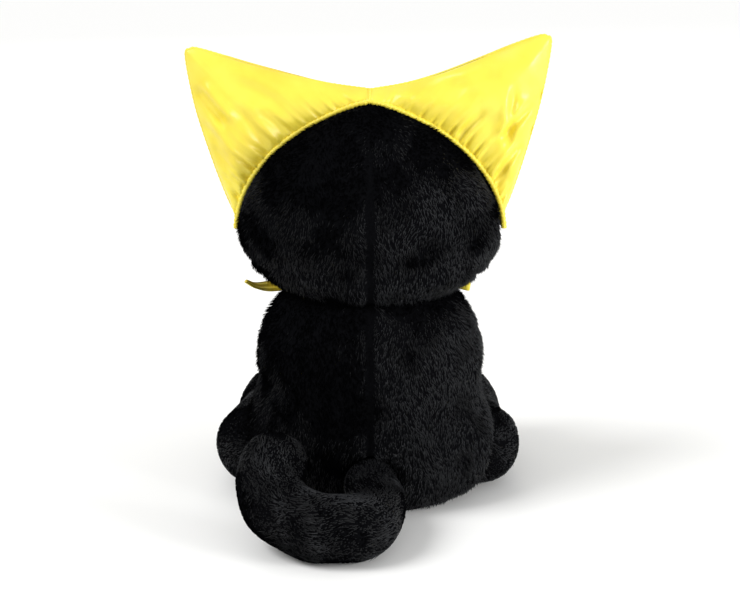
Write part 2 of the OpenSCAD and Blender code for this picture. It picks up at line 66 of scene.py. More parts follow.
head_low, head_high = node_box("head_face")
CHEEK_W = head_high[0]  # half width of the head at the cheeks
HEAD_D = -head_low[1]  # half depth of the head there
RIM_Z = head_low[2]  # the head's lower edge, on the neck ball
CROWN_Z = node_box("head_stuffing")[1][2] + 1.2
CHEEK_Z = RIM_Z + 32.2  # height of the cheeks
JOINTS = {j["name"]: j for j in frame["record"]["behaviour"]["joints"]}


def joint_place(name):
    return np.array(JOINTS[name]["pos_m"]) / MM


NECK = joint_place("head_turn")
HIP = joint_place("leg_left_splay")
SHOULDER = joint_place("arm_left_swing")
TAIL_ROOT = joint_place("tail_swing")
SHOULDER_R = 71.5  # round shoulders about the neck ball's centre
RIM_W = math.sqrt((SHOULDER_R + 3.6) ** 2 - (RIM_Z - NECK[2]) ** 2)
LEG_R, LEG_L = 24.0, 84  # radius and length of the limbs
ARM_R, ARM_L = 14.0, 52
ARM_WAY = (-0.12, -0.97, -0.17)  # the way the left arm points
TAIL_R = 19.0
TAIL_THIN = 3  # the tail's root is this much thinner
FLIP = np.array([-1, 1, 1])  # from the cat's left to its right
SIDES = ((1, "left"), (-1, "right"))
SKIN_IN = 0.7  # the woven backing lies this far inside the brushed outline

# -------- small maths


def unit(v):
    v = np.asarray(v, float)
    return v / np.maximum(np.linalg.norm(v, axis=-1, keepdims=True), 1e-9)


def smooth(a, b, x):
    s = np.clip((np.asarray(x, float) - a) / (b - a), 0, 1)
    return s * s * (3 - 2 * s)


def mix(a, b, s):
    return a * (1 - s) + b * s


def circle(n):
    """n angles evenly spaced round a full turn."""
    return np.linspace(0, 2 * math.pi, n, endpoint=False)


def bump(x, width):
    return np.exp(-((np.asarray(x, float) / width) ** 2))


def run_along(points):
    """Length along a line up to each of its points."""
    return np.concatenate([[0], np.cumsum(np.linalg.norm(np.diff(points, axis=0), axis=1))])


def resample(points, n):
    """n points evenly spaced in length along a line."""
    run = run_along(points)
    at = np.linspace(0, run[-1], n)
    return np.stack([np.interp(at, run, points[:, k]) for k in range(points.shape[1])], 1)


def curve(points, n):
    """n evenly spaced points of a smooth (Catmull-Rom) curve through a few given ones."""
    p = np.asarray(points, float)
    ends = np.vstack([2 * p[0] - p[1], p, 2 * p[-1] - p[-2]])
    fine = []
    for k in range(len(p) - 1):
        a, b, c, d = ends[k : k + 4]
        t = np.linspace(0, 1, 24, endpoint=False)[:, None]
        fine.append(0.5 * (2 * b + (c - a) * t + (2 * a - 5 * b + 4 * c - d) * t**2
                           + (3 * b - a - 3 * c + d) * t**3))
    return resample(np.vstack(fine + [p[-1:]]), n)


def lumps(p, size, seed, octaves=3):
    """Smooth noise from -1 to 1 over points p, with lumps about size millimetres across."""
    rng = np.random.default_rng(seed)
    total = np.zeros(p.shape[:-1])
    for k in range(octaves):
        for _ in range(5):
            way = unit(rng.normal(size=3)) * (2 * math.pi / size) * (1.6**k) * rng.uniform(0.7, 1.3)
            total += np.sin(p @ way + rng.uniform(0, 6.28)) * 0.34 / (1.5**k)
    return np.clip(total, -1.5, 1.5)


# -------- meshes


def add_object(name, data):
    obj = bpy.data.objects.new(name, data)
    bpy.context.collection.objects.link(obj)
    return obj


def make_mesh(name, verts, faces, material, smooth_shading=True):
    mesh = bpy.data.meshes.new(name)
    verts = np.asarray(verts, float).reshape(-1, 3) * MM
    if isinstance(faces, np.ndarray):
        count, sides = faces.shape
        mesh.vertices.add(len(verts))
        mesh.vertices.foreach_set("co", verts.ravel())
        mesh.loops.add(count * sides)
        mesh.loops.foreach_set("vertex_index", faces.ravel().astype(np.int32))
        mesh.polygons.add(count)
        mesh.polygons.foreach_set("loop_start", np.arange(0, count * sides, sides, dtype=np.int32))
        mesh.update(calc_edges=True)
    else:
        mesh.from_pydata(verts.tolist(), [], [tuple(int(i) for i in f) for f in faces])
    mesh.validate()
    for m in material if isinstance(material, (list, tuple)) else [material]:
        mesh.materials.append(m)
    if smooth_shading:
        mesh.polygons.foreach_set("use_smooth", np.ones(len(mesh.polygons), bool))
    return add_object(name, mesh)


def grid_quads(rows, cols, wrap, start=0, back=False):
    i, j = np.meshgrid(np.arange(rows - 1), np.arange(cols if wrap else cols - 1), indexing="ij")
    i, j = i.ravel(), j.ravel()
    a = start + i * cols + j
    b = start + i * cols + (j + 1) % cols
    q = np.stack([a, b, b + cols, a + cols], 1)
    return q[:, ::-1] if back else q


def tube_faces(rows, cols, start=0):
    """Faces of a closed skin over rings; its two end points come after the rings' points."""
    n = start + rows * cols
    faces = [tuple(f) for f in grid_quads(rows, cols, True, start)]
    faces += [(n, start + (j + 1) % cols, start + j) for j in range(cols)]
    faces += [(n + 1, n - cols + j, n - cols + (j + 1) % cols) for j in range(cols)]
    return faces


def ring_grid(name, grid, material):
    """A closed skin over rings of points; each end closes on a point."""
    rows, cols, _ = grid.shape
    verts = np.vstack([grid.reshape(-1, 3), grid[0].mean(0), grid[-1].mean(0)])
    return make_mesh(name, verts, tube_faces(rows, cols), material)


def sheet_mesh(name, outer, inner, material):
    """A cloth panel with a real thickness between two equal grids of points, closed all round."""
    rows, cols, _ = outer.shape
    n = rows * cols
    first = np.arange(cols)
    last = n - cols + first
    west = np.arange(rows) * cols
    east = west + cols - 1
    faces = [tuple(f) for f in grid_quads(rows, cols, False)]
    faces += [tuple(f) for f in grid_quads(rows, cols, False, n, True)]
    for line, back in ((first, False), (east, False), (last, True), (west, True)):
        for a, b in zip(line[:-1], line[1:]):
            faces.append((a, a + n, b + n, b) if not back else (b, b + n, a + n, a))
    return make_mesh(name, np.vstack([outer.reshape(-1, 3), inner.reshape(-1, 3)]), faces, material)


def two_layers(name, outer, inner, side, turned, material):
    """A sheet between two layers made for the cat's left; side mirrors it for the right."""
    flip = np.array([side, 1, 1])
    outer, inner = outer * flip, inner * flip
    if turned:
        outer, inner = outer[:, ::-1], inner[:, ::-1]
    return sheet_mesh(name, outer, inner, material)


def tube_grid(line, radii, sides=24, up=(0, 0, 1), flat=None):
    """Rings round a line; radii is one value a point, and flat scales the section's height."""
    line = np.asarray(line, float)
    way = unit(np.gradient(line, axis=0))
    side = unit(np.cross(way, np.asarray(up, float)))
    top = np.cross(side, way)
    a = circle(sides)
    radii = np.broadcast_to(radii, len(line))
    tall = radii if flat is None else np.broadcast_to(flat, len(line))
    return (line[:, None] + radii[:, None, None] * np.cos(a)[None, :, None] * side[:, None]
            + tall[:, None, None] * np.sin(a)[None, :, None] * top[:, None])


# -------- materials


def socket(node, name, value):
    node.inputs[name].default_value = value


def new_material(name, colour, rough, **values):
    m = bpy.data.materials.new(name)
    m.use_nodes = True
    shader = m.node_tree.nodes["Principled BSDF"]
    socket(shader, "Base Color", (*colour, 1))
    socket(shader, "Roughness", rough)
    for key, value in values.items():
        socket(shader, key.replace("_", " "), value)
    return m, m.node_tree, shader


def noise_node(tree, scale, detail=3.0, rough=0.5, stretch=None):
    coords = tree.nodes.new("ShaderNodeTexCoord")
    noise = tree.nodes.new("ShaderNodeTexNoise")
    socket(noise, "Scale", scale)
    socket(noise, "Detail", detail)
    socket(noise, "Roughness", rough)
    place = coords.outputs["Object"]
    if stretch is not None:
        mapping = tree.nodes.new("ShaderNodeMapping")
        socket(mapping, "Scale", stretch)
        tree.links.new(place, mapping.inputs["Vector"])
        place = mapping.outputs["Vector"]
    tree.links.new(place, noise.inputs["Vector"])
    return noise


def ramp_to(tree, source, target, stops):
    ramp = tree.nodes.new("ShaderNodeValToRGB")
    while len(ramp.color_ramp.elements) < len(stops):
        ramp.color_ramp.elements.new(0.5)
    for element, (place, colour) in zip(ramp.color_ramp.elements, stops):
        element.position = place
        element.color = (*colour, 1)
    tree.links.new(source, ramp.inputs["Fac"])
    tree.links.new(ramp.outputs["Color"], target)


def range_to(tree, source, target, low, high):
    node = tree.nodes.new("ShaderNodeMapRange")
    socket(node, "To Min", low)
    socket(node, "To Max", high)
    tree.links.new(source, node.inputs["Value"])
    tree.links.new(node.outputs["Result"], target)


def bump_to(tree, source, shader, strength, distance):
    node = tree.nodes.new("ShaderNodeBump")
    socket(node, "Strength", strength)
    socket(node, "Distance", distance)
    tree.links.new(source, node.inputs["Height"])
    tree.links.new(node.outputs["Normal"], shader.inputs["Normal"])


def plush_backing():
    """The woven cloth under the pile, nearly black."""
    m, tree, shader = new_material("plush_backing", (0.003, 0.003, 0.0035), 0.9,
                                   Specular_IOR_Level=0.0)
    fine = noise_node(tree, 900, 4, 0.7)
    ramp_to(tree, fine.outputs["Fac"], shader.inputs["Base Color"],
            [(0.3, (0.0016, 0.0016, 0.0019)), (0.75, (0.0040, 0.0042, 0.0050))])
    bump_to(tree, fine.outputs["Fac"], shader, 0.6, 0.0006)
    return m


def pile(name, colour, rough, gloss):
    """Strands of one tone."""
    m, tree, shader = new_material(name, colour, rough, Specular_IOR_Level=gloss)
    fine = noise_node(tree, 300, 2)
    range_to(tree, fine.outputs["Fac"], shader.inputs["Roughness"], rough - 0.08, rough + 0.12)
    return m


def satin_cloth():
    """Bright satin with a fine weave, glossy along one way."""
    m, tree, shader = new_material("yellow_satin", (0.84, 0.69, 0.060), 0.30,
                                   Sheen_Weight=0.06, Sheen_Roughness=0.4, Specular_IOR_Level=0.42,
                                   Anisotropic=0.45)
    broad = noise_node(tree, 28, 3, 0.55)
    ramp_to(tree, broad.outputs["Fac"], shader.inputs["Base Color"],
            [(0.25, (0.77, 0.59, 0.045)), (0.5, (0.83, 0.68, 0.062)), (0.8, (0.89, 0.78, 0.095))])
    weave = noise_node(tree, 1.0, 2, 0.5, (5200, 5200, 900))
    range_to(tree, weave.outputs["Fac"], shader.inputs["Roughness"], 0.24, 0.38)
    bump_to(tree, weave.outputs["Fac"], shader, 0.18, 0.0002)
    return m


def fibre_fill(name, low, high):
    m, tree, shader = new_material(name, high, 0.95, Sheen_Weight=0.3)
    fluff = noise_node(tree, 160, 6, 0.7)
    ramp_to(tree, fluff.outputs["Fac"], shader.inputs["Base Color"], [(0.3, low), (0.7, high)])
    bump_to(tree, fluff.outputs["Fac"], shader, 0.8, 0.002)
    return m


def moulded(name, colour, rough):
    m, tree, shader = new_material(name, colour, rough, Coat_Weight=0.3)
    fine = noise_node(tree, 420, 3)
    range_to(tree, fine.outputs["Fac"], shader.inputs["Roughness"], rough * 0.8, rough * 1.3)
    bump_to(tree, fine.outputs["Fac"], shader, 0.05, 0.0002)
    return m


def thread(name, low, high):
    m, tree, shader = new_material(name, high, 0.55, Sheen_Weight=0.4)
    twist = noise_node(tree, 1800, 2)
    ramp_to(tree, twist.outputs["Fac"], shader.inputs["Base Color"], [(0.35, low), (0.65, high)])
    bump_to(tree, twist.outputs["Fac"], shader, 0.4, 0.0003)
    return m


BACKING = plush_backing()
# three tones of pile: strands pick them by random nap and patches, and by painted light and shade
PILES = [pile("pile_deep", (0.0014, 0.0014, 0.0017), 0.60, 0.0),
         pile("pile_mid", (0.0066, 0.0070, 0.0080), 0.52, 0.16),
         pile("pile_light", (0.0132, 0.0142, 0.0165), 0.46, 0.28)]
SATIN = satin_cloth()
WADDING = fibre_fill("white_wadding", (0.72, 0.72, 0.70), (0.88, 0.88, 0.86))
BEAN_CLOTH = fibre_fill("bean_cotton", (0.50, 0.43, 0.32), (0.66, 0.59, 0.46))
WASHER = moulded("washer_plastic", (0.80, 0.80, 0.78), 0.5)

# -------- pile: short brushed strands
GROUND = 0.3  # no skin or strand goes lower
FOOT_Z = 1.5  # no pile below this, where the toy stands on it
ROOTED = 0.4  # a strand starts this far inside its skin
STRAND_W = 0.33  # radius of a strand at its root
CORNERS = (0, 2.094, 4.189)  # its three corners, a third of a turn apart
SPIKE = ((0, 1, 3), (1, 2, 3), (2, 0, 3), (0, 2, 1))
MID_FROM, LIGHT_FROM = -0.1, 0.8  # tones above which a strand is mid or light
DOWN = np.array([0.0, 0.15, -1.0])  # the way the back was brushed


def tree_of(objects):
    """A search tree over the faces of several pieces."""
    verts, faces = [], []
    for o in objects:
        start = len(verts)
        verts += [v.co.copy() for v in o.data.vertices]
        faces += [[start + i for i in f.vertices] for f in o.data.polygons]
    return BVHTree.FromPolygons(verts, faces)


def read_mesh(items, what, kind=float):
    values = np.empty(len(items) * 3, kind)
    items.foreach_get(what, values)
    return values.reshape(-1, 3)


def strands(name, skin, body, per_mm2, length, width, seed, comb, cover=None, bare=None, part=None):
    """Pile on a skin: closed three-sided spikes that lean the way the cloth was brushed.

    It is pressed flat under cover, a search tree of what lies close over the skin. There is none
    where bare says so. part gives five numbers at each root: how much it leans aside in x, y and z,
    how much it is shortened, and how much lighter its tone is."""
    mesh = skin.data
    mesh.calc_loop_triangles()
    verts = read_mesh(mesh.vertices, "co") / MM
    normals = read_mesh(mesh.vertices, "normal")
    tris = read_mesh(mesh.loop_triangles, "vertices", np.int32)
    a, b, c = (verts[tris[:, k]] for k in range(3))
    area = np.linalg.norm(np.cross(b - a, c - a), axis=1) / 2
    count = int(area.sum() * per_mm2)
    rng = np.random.default_rng(seed)
    face = np.searchsorted(np.cumsum(area), rng.uniform(0, area.sum(), count))
    face = face.clip(0, len(tris) - 1)
    r1 = np.sqrt(rng.uniform(size=count))
    r2 = rng.uniform(size=count)
    w = np.stack([1 - r1, r1 * (1 - r2), r1 * r2], 1)
    root = sum(w[:, k : k + 1] * verts[tris[face, k]] for k in range(3))
    out = unit(sum(w[:, k : k + 1] * normals[tris[face, k]] for k in range(3)))
    keep = root[:, 2] > FOOT_Z
    if bare is not None:
        keep &= ~bare(root)
    root, out = root[keep], out[keep]
    count = len(root)
    pressed = np.zeros(count)
    if cover is not None:
        near = (length + 1.5) * MM
        for i in range(count):
            met = cover.ray_cast(Vector(root[i] * MM), Vector(out[i]), near)[0]
            if met is not None:
                pressed[i] = 1
    parted = part(root) if part is not None else np.zeros((count, 5))
    brushed = comb(root) + parted[:, :3]
    swirl = np.stack([lumps(root, 38, seed + 11 + k, 2) for k in range(3)], 1)
    way = brushed + 0.45 * swirl
    way = unit(way - (way * out).sum(1, keepdims=True) * out)
    nap = lumps(root, 30, seed + 5, 3)
    lean = mix(np.clip(0.72 + 0.16 * nap, 0.45, 0.9), 0.97, pressed)[:, None]
    stray = rng.normal(size=(count, 3)) * mix(0.13, 0.03, pressed)[:, None]
    way = unit(out * (1 - lean) + way * lean + stray)
    long = length * rng.uniform(0.7, 1.2, count)[:, None]
    long = long * (1 - parted[:, 3:4]) * (1 - 0.5 * pressed)[:, None]
    side = unit(np.cross(way, out + 0.01))
    top = np.cross(side, way)
    base = root - out * ROOTED
    ring = [base + width * (math.cos(t) * side + math.sin(t) * top) for t in CORNERS]
    tip = root + way * long
    tip[:, 2] = np.maximum(tip[:, 2], GROUND)
    points = np.stack(ring + [tip], 1).reshape(-1, 3)
    k = np.arange(count)[:, None] * 4
    faces = np.concatenate([k + np.array([f]) for f in SPIKE], 1).reshape(-1, 3)
    obj = make_mesh(name, points, faces, PILES)
    patch = lumps(root, 70, seed + 9, 2)
    left_painted_shade = smooth(-20, 45, root[:, 0])  # painted shade: the cat's left side is made darker
    # a strand's tone: random nap, patches and scatter, less the painted shade on the cat's left, plus
    # the tone that part gives
    tone = (0.60 * nap + 0.85 * patch + rng.normal(size=count) * 0.24 + parted[:, 4]
            - left_painted_shade + 0.72)
    which = np.where(tone > LIGHT_FROM, 2, np.where(tone > MID_FROM, 1, 0)).astype(np.int32)
    obj.data.polygons.foreach_set("material_index", np.repeat(which, len(SPIKE)))
    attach(obj, body)


def part_back(top):
    """Pile parted along the sewn seam down the middle of the back, below the height top.

    It leans away from the seam, and is shorter and darker there. Painted shade makes it darker just
    under the top, and painted light makes it lighter low down on the cat's right."""
    def part(p):
        near = bump(p[:, 0], 2.6) * smooth(8, 22, p[:, 1]) * smooth(top, top - 25, p[:, 2])
        # painted light: the tone is raised low down on the cat's right
        low = smooth(top - 60, top - 95, p[:, 2]) * smooth(25, -25, p[:, 0])
        # painted shade: the tone is lowered just under the top
        high = smooth(top - 42, top - 12, p[:, 2])
        tone = 0.65 * low - 1.3 * high - 2.2 * bump(p[:, 0], 1.7) * near
        none = 0 * near
        return np.stack([np.sign(p[:, 0]) * 1.5 * near, none, none, 0.75 * near, tone], 1)
    return part


def comb_down(p):
    return np.broadcast_to(DOWN, p.shape)


# -------- stuffed forms
def head_w(z):
    """Half width of the head at heights z."""
    t = np.clip((CHEEK_Z - z) / (CHEEK_Z - RIM_Z), 0, 1)
    low = mix(RIM_W, CHEEK_W, (1 - t**1.9) ** 0.75)
    t = np.clip((z - CHEEK_Z) / (CROWN_Z - CHEEK_Z), 0, 1)
    return np.where(z < CHEEK_Z, low, CHEEK_W * (1 - t**2.05) ** 0.68)


def head_d(z):
    """Half depth of the head at heights z."""
    t = np.clip((CHEEK_Z - z) / (CHEEK_Z - RIM_Z), 0, 1)
    low = mix(RIM_W, HEAD_D, (1 - t**2) ** 0.7)
    t = np.clip((z - CHEEK_Z) / (CROWN_Z + 0.5 - CHEEK_Z), 0, 1)
    return np.where(z < CHEEK_Z, low, HEAD_D * np.sqrt(1 - t**2))


MUZZLE = np.array([0, -HEAD_D, CHEEK_Z - 4])
SEAM_W = 2.0  # width of a sewn seam's groove


def head_surface(a, z, off):
    """Points of the head's outside, moved out by off; a is 0 at the cat's left, 90 degrees behind."""
    w = np.maximum(head_w(z) + off, 0.3)
    d = np.maximum(head_d(z) + off, 0.3)
    p = np.stack([w * np.cos(a), d * np.sin(a), z + 0 * a], -1)
    out = unit(np.stack([p[..., 0] / w**2, p[..., 1] / d**2, 0 * z + 1e-6], -1))
    x, y = p[..., 0], p[..., 1]
    back = smooth(0, 12, y)
    below_crown = smooth(CROWN_Z - 8, CROWN_Z - 45, z)
    seam = bump(x, SEAM_W) * back * below_crown
    beside = bump(np.abs(x) - 6, 3.2) * back * below_crown
    from_dart = (np.abs(x) - 60) + (z - 143) * 0.9  # a slanted dart at each side, low on the back
    dart = bump(from_dart, 2.4) * smooth(162, 146, z) * back
    pouch = bump(from_dart - 7, 4.5) * smooth(162, 146, z) * back
    roll = bump(z - 139, 5) - 0.8 * bump(z - 147, 4)
    cheeks = bump(np.abs(x) - 15, 14) * bump(z - MUZZLE[2] + 3, 11) * smooth(-20, -40, y)
    soft = lumps(p, 55, 3, 2)
    grow = (beside + 1.1 * pouch - 2.2 * seam - 2.2 * dart + 0.9 * roll * back + 3.4 * cheeks
            + 0.9 * soft * smooth(RIM_Z, RIM_Z + 14, z))
    return p + out * np.maximum(grow, -DEEPEST)[..., None]


def neck_rings(radius, degrees, a):
    """Rings of points on a sphere about the neck, at angles from straight up; a goes round them."""
    rings = []
    for angle in degrees:
        s, c = math.sin(math.radians(angle)), math.cos(math.radians(angle))
        rings.append(NECK + radius * np.stack([np.cos(a) * s, np.sin(a) * s, 0 * a + c], 1))
    return np.array(rings)


def make_head(cover):
    """Head, with its pile pressed flat under cover, the hood."""
    rows, cols = 110, 160
    t = np.linspace(0, 1, rows)
    z = RIM_Z + (CROWN_Z - 0.05 - RIM_Z) * (1 - np.cos(t * math.pi)) / 2
    a = circle(cols)
    zz, aa = np.meshgrid(z, a, indexing="ij")
    # the underside turns in and up over the round shoulders
    under = neck_rings(SHOULDER_R + 3.8, np.linspace(26, 42, 7), a)
    grid = np.concatenate([under, head_surface(aa, zz, -SKIN_IN)])
    skin = ring_grid("head_plush", grid, BACKING)
    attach(skin, "head")
    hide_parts("head_back_left", "head_back_right", "head_face")
    strands("head_pile", skin, "head", per_mm2=0.75, length=3.4, width=STRAND_W, seed=21,
            comb=comb_head, cover=cover, bare=face_bare, part=part_back(CROWN_Z - 12))


# height, half width and half depth
BODY_PROFILE = curve([(0, 55, 46), (4, 63, 51), (12, 71.5, 56), (24, 77.5, 59.5), (37, 78.5, 60.5),
                      (52, 73, 60.9), (68, 67.7, 61.7), (86, 67.8, 62.8), (98, 66.9, 63.4),
                      (106, 64.4, 63.3), (113, 60.6, 60.5), (121, 54.8, 54.8),
                      (126.5, 49.8, 49.8)], 120)
BODY_TOP = BODY_PROFILE[-1, 0]


def hollow_list():
    """The round-ended channels that the limbs' roots lie in: start, end, radius."""
    splays = np.radians([-7, -4, 12, 27])
    ahead = [np.array([math.sin(d), -math.cos(d), 0]) for d in splays]
    leg = [(HIP, HIP + h * (LEG_L + 4), LEG_R + 2.2) for h in ahead]
    reach = [unit([ARM_WAY[0], ARM_WAY[1], z]) for z in (-0.62, -0.4, ARM_WAY[2], 0.05, 0.3)]
    arm = [(SHOULDER, SHOULDER + h * ARM_L, ARM_R + 2.0) for h in reach]
    both = leg + arm
    return both + [(a * FLIP, b * FLIP, r) for a, b, r in both] + [
        (TAIL_ROOT, TAIL_ROOT + np.array([-3, 30, -4]), TAIL_R - 1.5)]


def in_hollow(p, hollows):
    """Which of the points p lie in any of the channels."""
    inside = np.zeros(p.shape[:-1], bool)
    for a, b, r in hollows:
        ab = b - a
        s = np.clip(((p - a) @ ab) / (ab @ ab), 0, 1)
        inside |= np.linalg.norm(p - a - s[..., None] * ab, axis=-1) < r
    return inside


def make_body():
    rows, cols = 110, 180
    z = np.linspace(0, 1, rows) * BODY_TOP
    a = circle(cols)
    w = np.interp(z, BODY_PROFILE[:, 0], BODY_PROFILE[:, 1]) - SKIN_IN
    d = np.interp(z, BODY_PROFILE[:, 0], BODY_PROFILE[:, 2]) - SKIN_IN
    zz, aa = np.meshgrid(z, a, indexing="ij")
    ray = np.stack([w[:, None] * np.cos(aa), d[:, None] * np.sin(aa), 0 * aa], -1)
    reach = np.linalg.norm(ray, axis=-1)
    way = ray / reach[..., None]
    axis = np.stack([0 * zz, 0 * zz, zz], -1)
    # each point goes out from the body's axis until it meets a hollow, and the cut is then eased
    hollows = hollow_list()
    free = reach.copy()
    stopped = np.zeros(reach.shape, bool)
    for r in np.arange(18, 82, 0.8):
        hit = in_hollow(axis + way * r, hollows) & ~stopped & (r < reach)
        free[hit] = r
        stopped |= hit
    cut = free < reach - 0.5
    beside_cut = cut | (np.roll(cut, 1, 1) | np.roll(cut, -1, 1))
    for _ in range(5):
        near = (np.roll(free, 1, 1) + np.roll(free, -1, 1) + np.vstack([free[:1], free[:-1]])
                + np.vstack([free[1:], free[-1:]])) / 4
        free = np.where(beside_cut, np.minimum(near, reach), free)
    p = axis + way * free[..., None]
    x, y = p[..., 0], p[..., 1]
    back = smooth(5, 20, y)
    seam = bump(x - 0.5, SEAM_W) * back * smooth(14, 30, zz)
    beside = bump(np.abs(x - 0.5) - 6, 3.2) * back * smooth(14, 30, zz)
    belly = bump(x, SEAM_W) * smooth(-5, -20, y) * smooth(8, 20, zz)
    soft = lumps(p, 60, 8, 2) * smooth(4, 20, zz) * smooth(BODY_TOP, BODY_TOP - 20, zz)
    folds = (bump(zz - 108 + 0.10 * np.abs(x), 3.2) * smooth(20, 50, np.abs(x)) * 0.9
             + bump(zz - 66 - 0.12 * x, 5) * smooth(25, 60, np.abs(x)) * 1.2)
    grow = beside - 2.2 * seam - 1.5 * belly + 0.8 * soft - folds
    p = p + way * np.maximum(grow, -DEEPEST)[..., None]
    p[..., 2] = zz
    dome = neck_rings(SHOULDER_R - 0.9, np.linspace(40, 8, 8), a)
    skin = ring_grid("body_plush", np.concatenate([p, dome]), BACKING)
    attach(skin, "body")
    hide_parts("body_back_left", "body_back_right", "body_belly_left", "body_belly_right",
                "body_base")
    strands("body_pile", skin, "body", per_mm2=0.70, length=3.5, width=STRAND_W, seed=22,
            comb=comb_down, part=part_back(BODY_TOP + 20))


def limb_skin(name, body, nodes, line, radii, seed, per_mm2, length, comb, shape=None):
    """A stuffed tube with round ends over a centre line; shape may add seams and bulges to it."""
    grid = tube_grid(line, radii, 72)
    if shape is not None:
        grid = shape(grid, line)
    out = unit(grid - line[:, None])
    grid = grid + out * (0.7 * lumps(grid, 40, seed, 2))[..., None]
    grid[..., 2] = np.maximum(grid[..., 2], GROUND)
    skin = ring_grid(name, grid, BACKING)
    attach(skin, body)
    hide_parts(*nodes)
    strands(name.replace("plush", "pile"), skin, body, per_mm2, length, 0.32, seed + 40, comb)


def capsule(start, way, length, radius, n, end_flat=0.0):
    """Centre line and radii of a limb: a round root at start, and a round or flattened far end."""
    way = unit(way)
    small = 0.06  # the rings at both ends stay this far open, in radians
    root = -np.cos(np.linspace(small, math.pi / 2, 12)) * radius(0)
    body = np.linspace(0, length, n)[1:]
    r_end = radius(1)
    turn = np.linspace(0, math.pi / 2 - small, 12)[1:]
    far = length + np.sin(turn) * r_end * (1 - end_flat)
    place = np.concatenate([root, body, far])
    radii = np.concatenate([np.sqrt(np.maximum(radius(0) ** 2 - root**2, 0)),
                            [radius(s / length) for s in body],
                            np.cos(turn) ** (1 - 0.55 * end_flat) * r_end])
    return start + place[:, None] * way, radii


def comb_along(way):
    """Pile brushed along a limb and a little down."""
    way = unit(np.asarray(way, float) + np.array([0, 0, -0.35]))
    return lambda p: np.broadcast_to(way, p.shape)


def make_leg(side, name):
    hip = HIP * np.array([side, 1, 1])
    way = np.array([side * math.sin(math.radians(-4)), -math.cos(math.radians(4)), 0])

    def radius(s):
        return LEG_R - SKIN_IN - 2.2 * math.sin(math.pi * min(1, s * 1.2)) - 0.2 * s

    line, radii = capsule(hip, way, LEG_L, radius, 46, end_flat=0.78)

    def shape(grid, line):
        run = (line - hip) @ way
        out = unit(grid - line[:, None])
        outward = out[..., 0] * side
        fold = bump(run - 3, 1.8)[:, None] * smooth(-0.3, 0.5, outward)
        toe = sum(bump(out[..., 0] - t, 0.09) for t in (-0.33, 0.33)) * smooth(78, 92, run)[:, None]
        toe = toe * smooth(0.1, 0.5, out[..., 2])
        plump = 5.0 if side > 0 else 2.5  # the left haunch stands out more
        haunch = plump * bump(run + 2, 34)[:, None] * smooth(0.0, 0.8, outward)
        return grid - out * (1.2 * fold + 1.5 * toe - haunch)[..., None]

    limb_skin(f"leg_{name}_plush", f"leg_{name}", [f"leg_{name}_skin", f"leg_{name}_sole"],
              line, radii, seed=31 + side, per_mm2=0.75, length=4.0, comb=comb_along(way),
              shape=shape)


def make_arm(side, name):
    start = SHOULDER * np.array([side, 1, 1])
    way = unit([ARM_WAY[0] * side, ARM_WAY[1], ARM_WAY[2]])

    def radius(s):
        return ARM_R - SKIN_IN + 1.4 * math.sin(math.pi * max(0, s - 0.45) / 1.1)

    line, radii = capsule(start, way, ARM_L, radius, 34)

    def shape(grid, line):
        run = (line - start) @ way
        out = unit(grid - line[:, None])
        toe = sum(bump(out[..., 0] - t, 0.12) for t in (-0.36, 0.36))
        toe = toe * smooth(50, 60, run)[:, None]
        return grid - out * (1.5 * toe)[..., None]

    limb_skin(f"arm_{name}_plush", f"arm_{name}", [f"arm_{name}_skin"], line, radii,
              seed=41 + side, per_mm2=0.8, length=3.8, comb=comb_along(way), shape=shape)


def make_tail():
    """The tail goes back from the body, then round to the cat's left, and its end stands up."""
    n = 90
    line = curve([TAIL_ROOT, (-4, 92, TAIL_R - 0.5), (8, 117, TAIL_R + 0.4), (34, 117, TAIL_R + 1),
                  (55, 97, TAIL_R + 9), (55, 79, TAIL_R + 23.5)], n)
    way = unit(np.gradient(line, axis=0))
    t = np.linspace(0, 1, n)
    r = TAIL_R - SKIN_IN
    thin = TAIL_THIN * (1 - smooth(0.13, 0.5, t))
    turn = np.linspace(0.08, math.pi / 2, 10)
    back_turn = math.pi / 2 - turn[::-1]
    root = line[0] - way[0] * ((r - TAIL_THIN) * np.cos(turn))[:, None]
    far = line[-1] + way[-1] * (r * np.sin(back_turn))[:, None]
    swell = 0.3 + 0.7 * bump(t - 0.85, 0.2)
    radii = np.concatenate([(r - 2.7) * np.sin(turn[:-1]), r + swell - thin,
                            (r + 0.6) * np.cos(back_turn)[1:]])
    whole = np.vstack([root[:-1], line, far[1:]])

    def comb(p):
        near = np.argmin(((p[:, None, :] - line[None, ::3, :]) ** 2).sum(-1), axis=1)
        return way[::3][near]

    limb_skin("tail_plush", "tail", ["tail_skin"], whole, radii, seed=61, per_mm2=0.8,
              length=6.2, comb=comb)


# -------- hood
BACK_Y = 6.0  # plane of the back opening
SEAM_Y = -3.0  # plane of the seam that joins back and front
CLOTH = 0.8  # satin with its lining
HEAD_GAP = 1.3  # between the head's outline and the cloth
NOTCH_Z = 245.5  # the dip between the ears
EAR_RISE = 7.5  # the right ear stands this much higher than the left
STEPS, ACROSS = 200, 56  # points along and across a panel


def hood_outline(side):
    """The sewn edge of one side, in x and z: from the notch over the ear's tip to the cheek."""
    line = curve([(0, NOTCH_Z), (30, 250), (62, 258.2), (97, 268.6), (104.8, 269.3),
                  (107.3, 264.5), (102.3, 236), (94, 208), (85.5, 184), (77.5, 165.5)], STEPS)
    if side < 0:
        line[:, 1] += EAR_RISE * smooth(0, 105, line[:, 0]) * smooth(160, 272, line[:, 1])
        line[:, 0] *= 1 - 0.02 * smooth(30, 100, line[:, 0])
    return line


